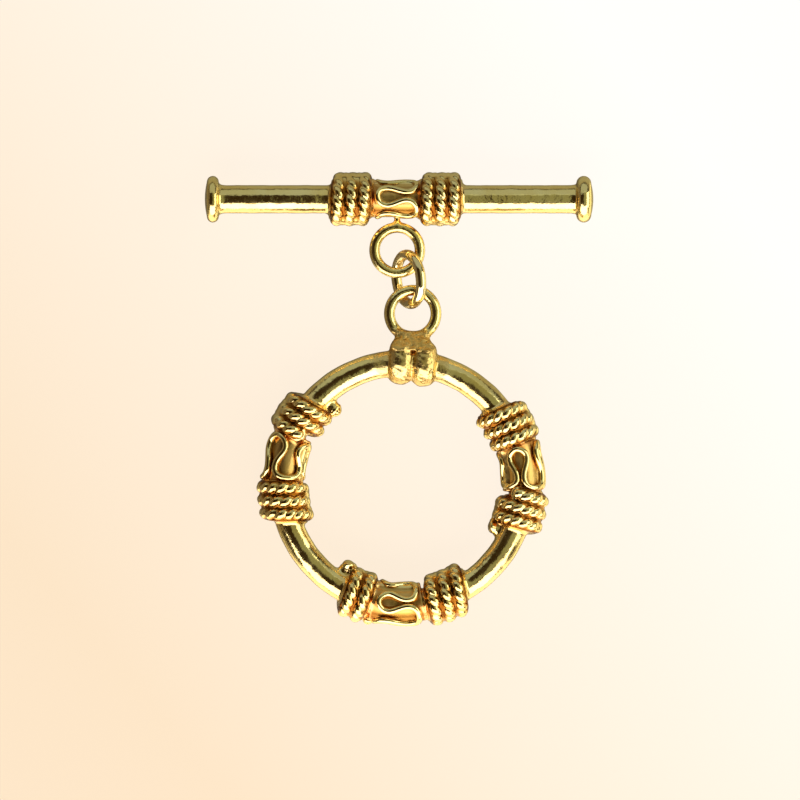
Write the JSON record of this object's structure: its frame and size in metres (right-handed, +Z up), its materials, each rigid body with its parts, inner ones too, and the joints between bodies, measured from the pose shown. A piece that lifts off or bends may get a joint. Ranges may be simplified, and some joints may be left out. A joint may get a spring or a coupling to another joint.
{
  "type": "toggle clasp",
  "caption": "Gold toggle clasp lying flat: a bar with disc ends and a round ring, both dressed with twisted rope windings and meander wires, joined by a link.",
  "frame": {"origin": "middle of the footprint's bounding box, on the surface that the clasp lies on", "axes": "+Z up from the surface, +Y from the clasp ring towards the toggle bar, +X along the bar"},
  "size_m": [0.025, 0.0292, 0.0035],
  "materials": {
    "polished_gold": "hand-polished yellow gold plate with soft tool ripples and orange solder fillets",
    "link_gold": "bright pale gold round wire with faint drawing lines",
    "rope_gold": "bright gold strands with darker orange-brown recesses",
    "meander_gold": "bright gold round wire, soldered down"
  },
  "bodies": {
    "root": {"toggle_bar": "polished_gold", "clasp_ring": "polished_gold", "link": "link_gold", "bar_rope_left": "rope_gold", "bar_rope_right": "rope_gold", "ring_rope_left_upper": "rope_gold", "ring_rope_left_lower": "rope_gold", "ring_rope_bottom_left": "rope_gold", "ring_rope_bottom_right": "rope_gold", "ring_rope_right_lower": "rope_gold", "ring_rope_right_upper": "rope_gold", "bar_meander": "meander_gold", "ring_meander_left": "meander_gold", "ring_meander_bottom": "meander_gold", "ring_meander_right": "meander_gold"}
  },
  "joints": []
}
